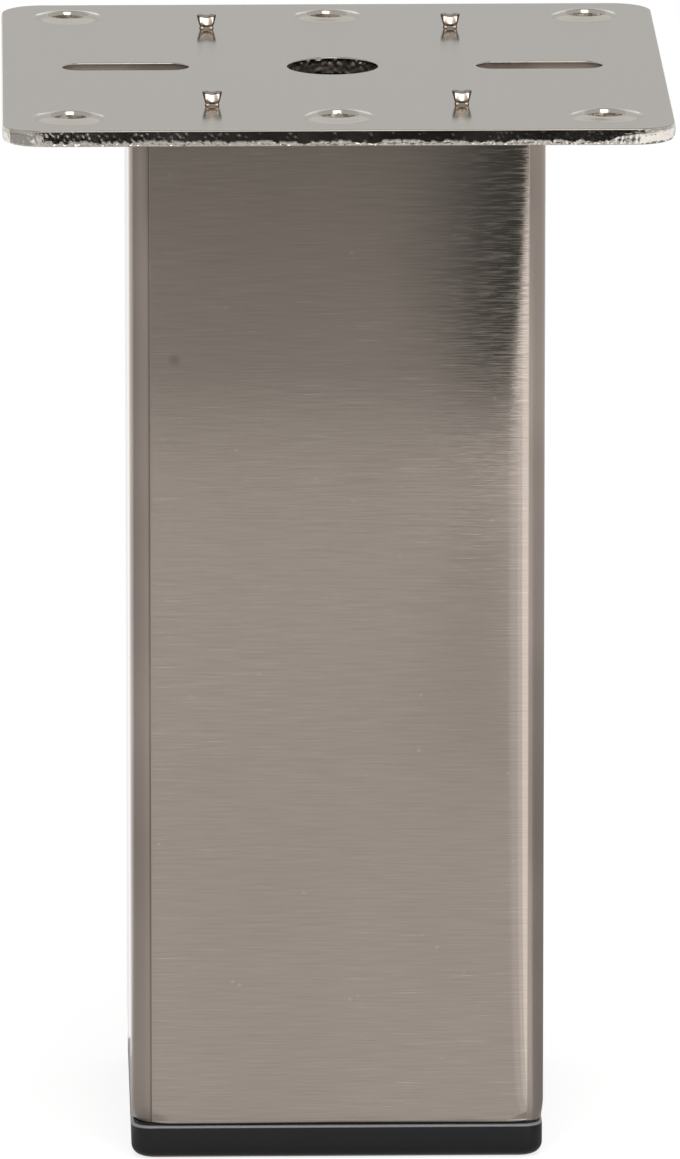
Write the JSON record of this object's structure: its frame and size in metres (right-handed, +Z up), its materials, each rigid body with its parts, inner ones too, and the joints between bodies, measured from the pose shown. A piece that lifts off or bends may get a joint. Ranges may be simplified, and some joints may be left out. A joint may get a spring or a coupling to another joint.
{
  "type": "furniture leg",
  "caption": "Square brushed steel tube leg with a punched, staked mounting plate on top and a moulded plastic foot cap, screwed under a table, cabinet or sofa.",
  "frame": {"origin": "middle of the foot cap's lower face, where it meets the floor", "axes": "+Z up the leg to the mounting plate, -Y the front, +X to the right of the front"},
  "size_m": [0.08, 0.08, 0.1317],
  "materials": {
    "brushed_tube": "satin nickel plate over fine brushing round the tube",
    "plated_plate": "smooth nickel plate, sheared edges left as punched",
    "black_plastic": "satin moulded polyethylene"
  },
  "bodies": {
    "root": {"leg_tube": "brushed_tube", "mounting_plate": "plated_plate", "foot_cap": "black_plastic"}
  },
  "joints": []
}
